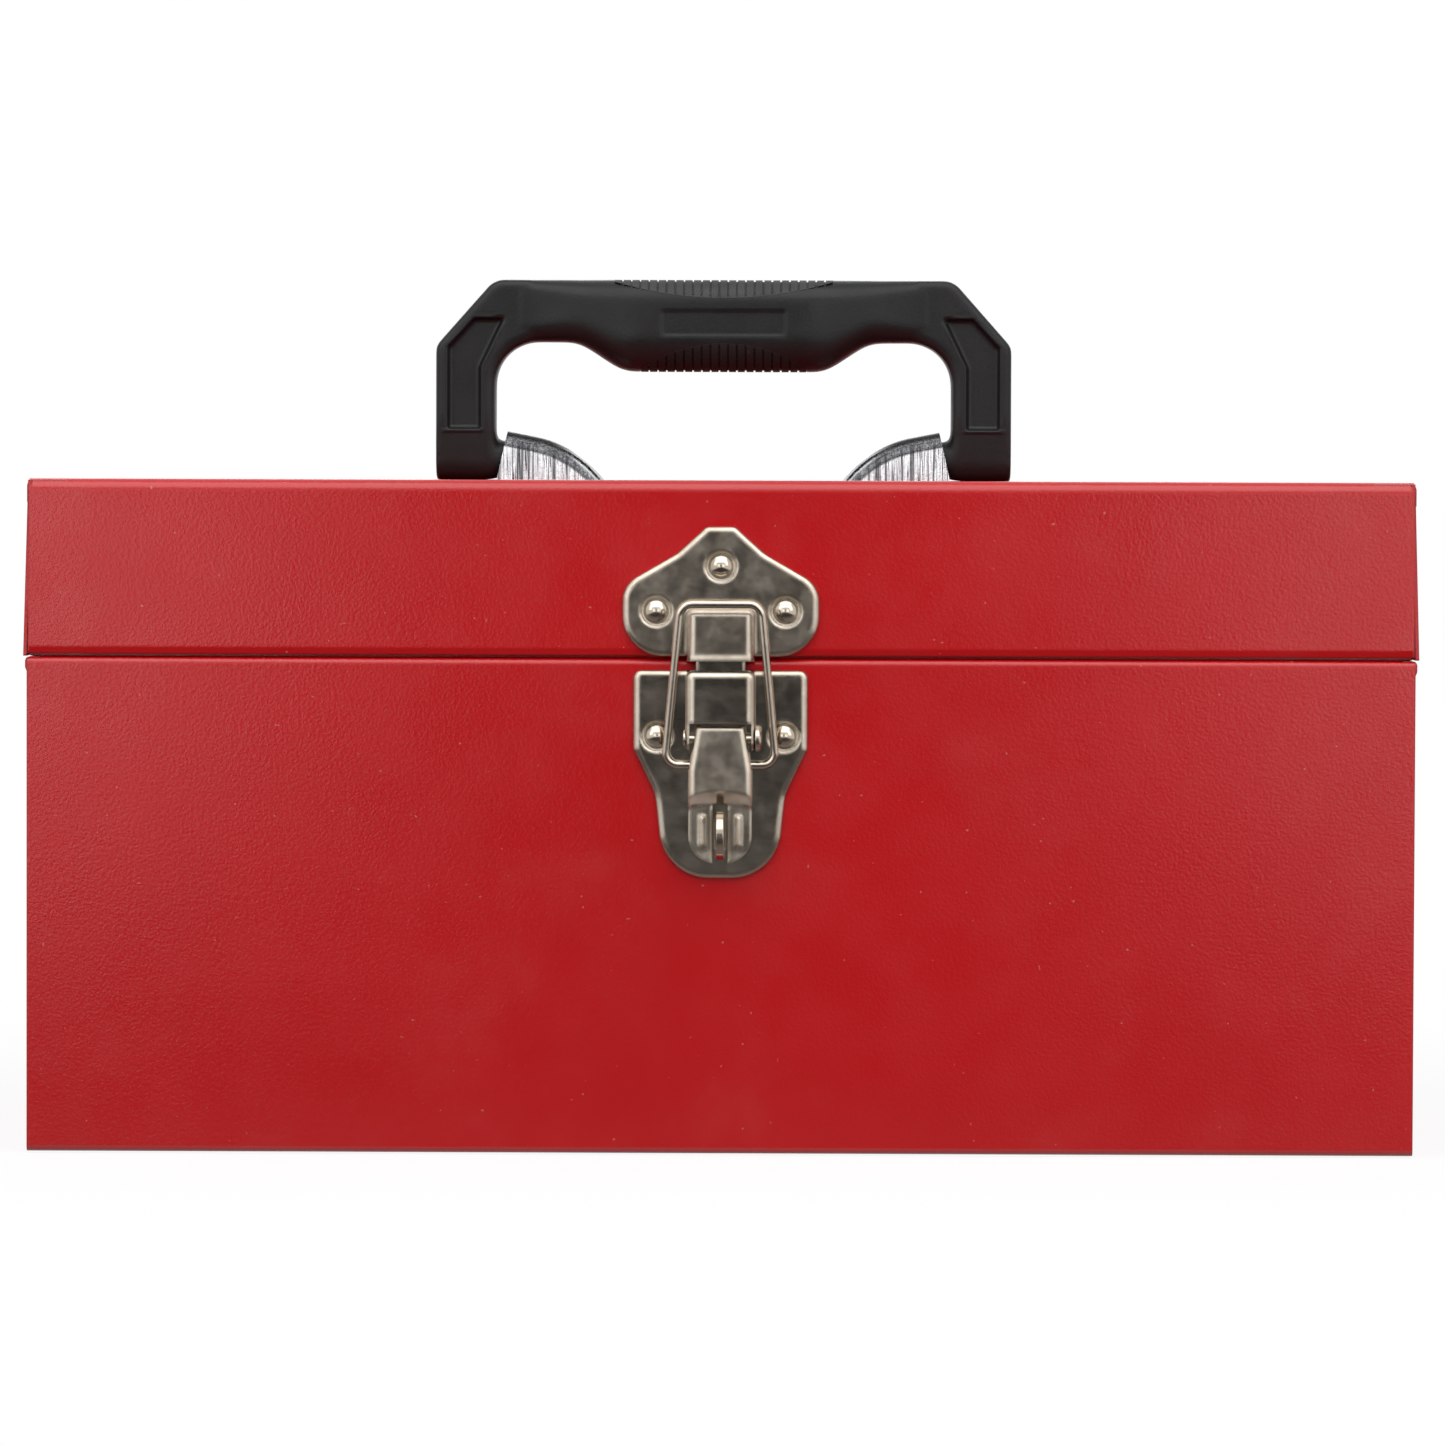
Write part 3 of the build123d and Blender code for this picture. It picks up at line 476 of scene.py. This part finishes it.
def grip_sinks(x, height):
    """How deep the grip is sunk under the two pads and in the bare field on its front and back."""
    above = height - arc_height(x, top_pad_half, handle_top, handle_top - top_pad_sag)
    below = arc_height(x, low_pad_half, grip_low, grip_low + low_pad_rise) - height
    top = ramp(above, pad_recess_start, pad_recess_full) * (np.abs(x) < top_pad_half)
    low = ramp(below, pad_recess_start, pad_recess_full) * (np.abs(x) < low_pad_half)
    field = ramp(field_half - np.abs(x), 0.0, field_edge)
    field = field * ramp(field_half_height - np.abs(height - field_height), 0.0, field_edge)
    return pad_recess * np.maximum(top, low) + field_depth * field


def moulded_handle():
    """The handle as one smooth moulding, in place of its plainer solid."""
    work = bmesh.new()
    grip_sweep(work)
    leg_ends(work)
    piece = remeshed("handle_moulding", work)
    mesh = piece.data
    points = read(mesh, "co")
    rim = near_window(points)
    points = relaxed(mesh, points, np.ones(len(points)), smooth_rounds)
    points = relaxed(mesh, points, rim, rim_rounds)
    points = pocketed(points)
    height = points[:, 2] - lid_top
    sinks = grip_sinks(points[:, 0], height)
    points[:, 2] -= np.maximum(trunnion_height - height, 0) * heel_stretch
    write(mesh, points)
    write(mesh, points - read(mesh, "normal") * sinks[:, None])
    mesh.polygons.foreach_set("use_smooth", [True] * len(mesh.polygons))
    mesh.materials.clear()
    mesh.materials.append(finishes["black_plastic"])
    mesh.update()
    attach(piece, "handle")
    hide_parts("handle_frame")


moulded_handle()


def studio_world():
    """Soft light from all round, which the camera and reflections see as white."""
    ambient, white = 0.30, 1.0
    world = bpy.data.worlds.new("studio")
    scene.world = world
    world.use_nodes = True
    tree = world.node_tree
    tree.nodes.clear()
    path = tree.nodes.new("ShaderNodeLightPath")
    seen = path.outputs["Is Camera Ray"]
    for ray in ("Is Glossy Ray", "Is Transmission Ray"):
        either = tree.nodes.new("ShaderNodeMath")
        either.operation = "MAXIMUM"
        tree.links.new(seen, either.inputs[0])
        tree.links.new(path.outputs[ray], either.inputs[1])
        seen = either.outputs[0]
    mix = tree.nodes.new("ShaderNodeMixShader")
    tree.links.new(seen, mix.inputs["Fac"])
    for strength, socket in ((ambient, mix.inputs[1]), (white, mix.inputs[2])):
        shade = tree.nodes.new("ShaderNodeBackground")
        shade.inputs["Color"].default_value = (1, 1, 1, 1)
        shade.inputs["Strength"].default_value = strength
        tree.links.new(shade.outputs[0], socket)
    output = tree.nodes.new("ShaderNodeOutputWorld")
    tree.links.new(mix.outputs[0], output.inputs["Surface"])


def studio_floor():
    """A pale floor that the camera and reflections see as white, with the box's shadow near it."""
    reach, drop = 30.0, 0.0004
    shadow_near, shadow_far, near_glow = 0.22, 0.50, 0.88
    mesh = bpy.data.meshes.new("floor")
    corners = [(-reach, -reach, 0), (reach, -reach, 0), (reach, reach, 0), (-reach, reach, 0)]
    mesh.from_pydata(corners, [], [(0, 1, 2, 3)])
    floor = bpy.data.objects.new("floor", mesh)
    scene.collection.objects.link(floor)
    floor.location.z = -drop
    s = Sheet("pale_floor")
    path = s.add("LightPath")
    seen = s.math("MAXIMUM", path.outputs["Is Camera Ray"], path.outputs["Is Glossy Ray"])
    seen = s.math("MAXIMUM", seen, path.outputs["Is Transmission Ray"])
    pale = s.add("BsdfDiffuse")
    grain = s.span(s.noise(3, detail=2), 0.3, 0.7)
    soft = s.blend(grain, (0.88, 0.88, 0.88, 1), (0.90, 0.90, 0.90, 1))
    s.put(s.blend(seen, (0.22, 0.22, 0.22, 1), soft), pale.inputs["Color"])
    away = s.add("VectorMath", operation="LENGTH")
    s.put(s.place(), away.inputs[0])
    glow_share = s.span(away.outputs["Value"], shadow_near, shadow_far, to_low=near_glow)
    glow = s.add("Emission")
    s.put((1, 1, 1, 1), glow.inputs["Color"])
    s.put(1.0, glow.inputs["Strength"])
    mix = s.add("MixShader")
    s.put(s.math("MULTIPLY", seen, glow_share), mix.inputs["Fac"])
    s.put(pale.outputs[0], mix.inputs[1])
    s.put(glow.outputs[0], mix.inputs[2])
    s.put(mix.outputs[0], s.output.inputs["Surface"])
    mesh.materials.append(s.material)


def dark_card():
    """A dark card behind the camera and on the floor, seen only in reflections as a painted dark reflection,
    paler near the box as a painted paler reflection.
    """
    wide, spread, high, back, front = 0.21, 0.32, 0.60, -2.15, -0.083
    pale_from, pale_to = -0.24, -0.13
    mesh = bpy.data.meshes.new("dark_card")
    rows = [(wide, back, high), (wide, back, 0.0), (spread, front, 0.0)]
    points = [(side * half, y, z) for half, y, z in rows for side in (-1, 1)]
    mesh.from_pydata(points, [], [(0, 1, 3, 2), (2, 3, 5, 4)])
    card = bpy.data.objects.new("dark_card", mesh)
    scene.collection.objects.link(card)
    s = Sheet("dark_card")
    # Painted reflection: the card is paler near the box and dark further out
    near = s.span(s.axes(s.place())["Y"], pale_from, pale_to)
    colour = s.blend(near, linear(40, 38, 36), linear(128, 126, 123))
    relief = s.span(s.noise(2, detail=2), 0.3, 0.7, to_low=0.02, to_high=0.03)
    s.shade(colour, 0.9, s.bump(relief, strength=0.1, distance=0.001))
    mesh.materials.append(s.material)
    card.visible_camera = False
    card.visible_diffuse = False
    card.visible_shadow = False


def softbox(name, place, size, power, mirrored):
    aim = Vector((0, 0, 0.1))
    light = bpy.data.lights.new(name, "AREA")
    light.shape = "RECTANGLE"
    light.size, light.size_y = size
    light.energy = power
    lamp = bpy.data.objects.new(name, light)
    lamp.visible_glossy = mirrored
    lamp.location = place
    lamp.rotation_euler = (aim - Vector(place)).to_track_quat("-Z", "Y").to_euler()
    scene.collection.objects.link(lamp)


def camera():
    data = bpy.data.cameras.new("camera")
    data.sensor_width = 36.0
    data.lens = 178.7
    eye = bpy.data.objects.new("camera", data)
    scene.collection.objects.link(eye)
    place = Vector((0.0125, -1.884, 0.170))
    aim = Vector((0.0005, -0.0775, 0.109))
    roll = math.radians(0.2)
    eye.location = place
    eye.rotation_euler = (aim - place).to_track_quat("-Z", "Y").to_euler()
    eye.rotation_euler.rotate_axis("Z", roll)
    scene.camera = eye


# Each lamp: name, place, width and height, power, whether it shows in reflections
lamps = [
    ("top", (0.0, -0.60, 1.00), (1.6, 1.0), 11.3, True),
    ("left", (-1.6, -1.5, 1.0), (0.9, 1.4), 7.5, True),
    ("right", (1.6, -1.5, 1.0), (0.9, 1.4), 7.5, True),
    ("left_wing", (-0.60, -1.9, 0.30), (0.6, 0.7), 1.9, True),
    ("right_wing", (0.60, -1.9, 0.30), (0.6, 0.7), 1.9, True),
    ("left_end", (-1.5, 0.35, 0.28), (0.8, 0.5), 6, False),
    ("right_end", (1.5, 0.35, 0.28), (0.8, 0.5), 6, False),
    ("back", (0.0, 1.9, 0.9), (1.4, 0.8), 6, True),
]
studio_world()
studio_floor()
dark_card()
for lamp in lamps:
    softbox(*lamp)
camera()
